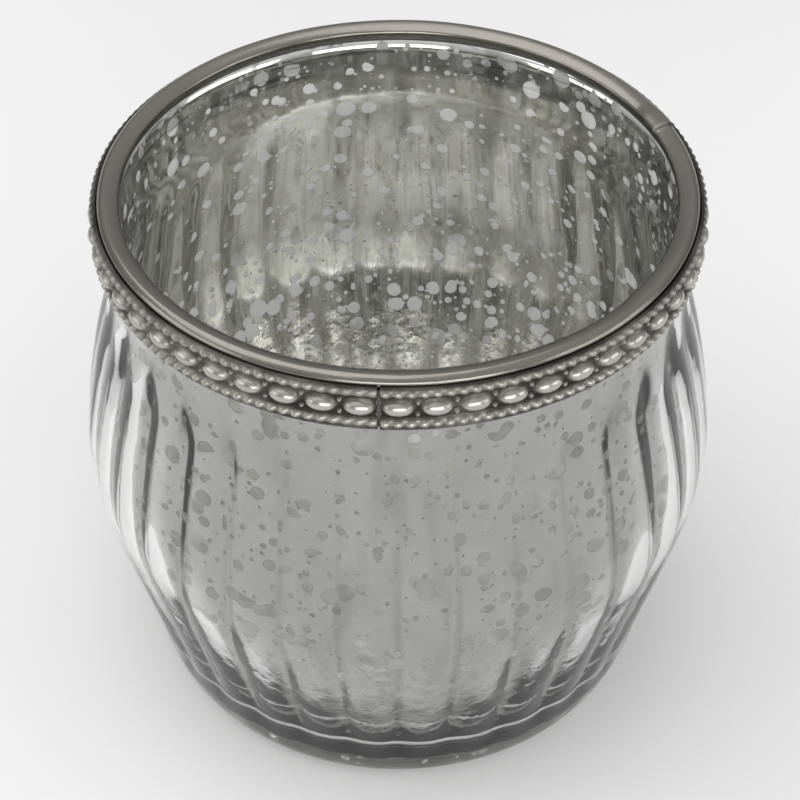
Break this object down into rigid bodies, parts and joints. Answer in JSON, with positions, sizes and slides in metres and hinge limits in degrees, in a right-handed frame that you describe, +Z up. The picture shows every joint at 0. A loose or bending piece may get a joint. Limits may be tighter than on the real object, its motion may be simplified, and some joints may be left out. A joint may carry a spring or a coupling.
{
  "type": "tealight holder",
  "caption": "Ribbed silvered-glass tealight holder: round-bellied bowl with a folded pewter-toned rim cap and an embossed beaded band.",
  "frame": {"origin": "on the table plane, under the centre of the bowl", "axes": "+Z up along the bowl's axis; -Y towards the front, where the band's butt joint is"},
  "size_m": [0.0812, 0.081, 0.074],
  "materials": {
    "clear_glass": "clear, faintly green, fire-polished",
    "silvering": "speckled antique silvering",
    "rim_metal": "dull antique pewter with darkened recesses",
    "band_metal": "antique pewter, polished on the beads and dark between them",
    "cement": "set cement",
    "solder": "dull soft solder"
  },
  "bodies": {
    "root": {"glass_bowl": "clear_glass", "silver_coating": "silvering", "rim_cap": "rim_metal", "rim_bedding": "cement", "beaded_band": "band_metal", "solder_joints": "solder"}
  },
  "joints": []
}
